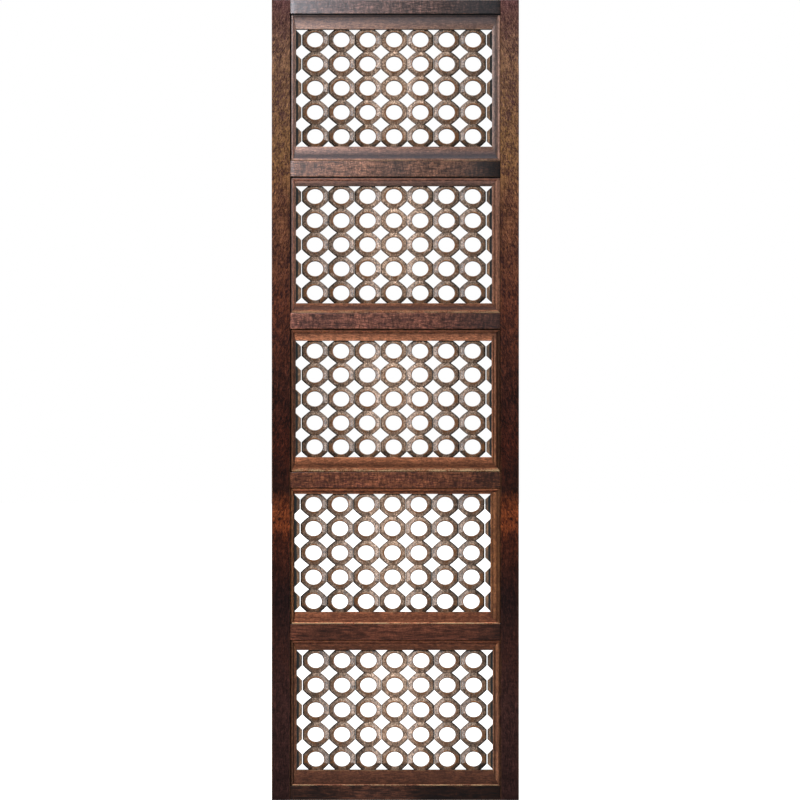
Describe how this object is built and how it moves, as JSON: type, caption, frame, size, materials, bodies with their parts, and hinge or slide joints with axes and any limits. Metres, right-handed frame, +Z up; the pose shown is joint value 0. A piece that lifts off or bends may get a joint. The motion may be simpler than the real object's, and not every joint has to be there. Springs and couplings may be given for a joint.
{
  "type": "mashrabiya screen panel",
  "caption": "Tall pierced wooden screen panel: stiles and rails hold bays of ring lattice in moulded inner frames, made to hang flat on a wall or be fixed in an opening.",
  "frame": {"origin": "middle of the back face of the top rail, where the panel is fixed", "axes": "+Z up, +X to the right as seen from the front, +Y out of the back, so the front faces -Y"},
  "size_m": [0.5652, 0.036, 1.83],
  "materials": {
    "stile_wood": "dark walnut stain under satin lacquer",
    "rail_wood": "dark walnut stain under satin lacquer",
    "moulding_wood": "brown stain under satin lacquer",
    "slat_wood": "grey-brown stain under satin lacquer, rubbed lighter on the facets",
    "strip_wood": "orange-brown stain under satin lacquer"
  },
  "bodies": {
    "root": {"stile_left": "stile_wood", "stile_right": "stile_wood", "rail_top": "rail_wood", "rail_1": "rail_wood", "rail_2": "rail_wood", "rail_3": "rail_wood", "rail_4": "rail_wood", "rail_bottom": "rail_wood", "inner_frame_1": "moulding_wood", "inner_frame_2": "moulding_wood", "inner_frame_3": "moulding_wood", "inner_frame_4": "moulding_wood", "inner_frame_5": "moulding_wood", "slat_1_1": "slat_wood", "slat_1_2": "slat_wood", "slat_1_3": "slat_wood", "slat_1_4": "slat_wood", "slat_1_5": "slat_wood", "slat_1_6": "slat_wood", "slat_1_7": "slat_wood", "slat_2_1": "slat_wood", "slat_2_2": "slat_wood", "slat_2_3": "slat_wood", "slat_2_4": "slat_wood", "slat_2_5": "slat_wood", "slat_2_6": "slat_wood", "slat_2_7": "slat_wood", "slat_3_1": "slat_wood", "slat_3_2": "slat_wood", "slat_3_3": "slat_wood", "slat_3_4": "slat_wood", "slat_3_5": "slat_wood", "slat_3_6": "slat_wood", "slat_3_7": "slat_wood", "slat_4_1": "slat_wood", "slat_4_2": "slat_wood", "slat_4_3": "slat_wood", "slat_4_4": "slat_wood", "slat_4_5": "slat_wood", "slat_4_6": "slat_wood", "slat_4_7": "slat_wood", "slat_5_1": "slat_wood", "slat_5_2": "slat_wood", "slat_5_3": "slat_wood", "slat_5_4": "slat_wood", "slat_5_5": "slat_wood", "slat_5_6": "slat_wood", "slat_5_7": "slat_wood", "edge_strip_1_left": "strip_wood", "edge_strip_1_right": "strip_wood", "edge_strip_2_left": "strip_wood", "edge_strip_2_right": "strip_wood", "edge_strip_3_left": "strip_wood", "edge_strip_3_right": "strip_wood", "edge_strip_4_left": "strip_wood", "edge_strip_4_right": "strip_wood", "edge_strip_5_left": "strip_wood", "edge_strip_5_right": "strip_wood"}
  },
  "joints": []
}
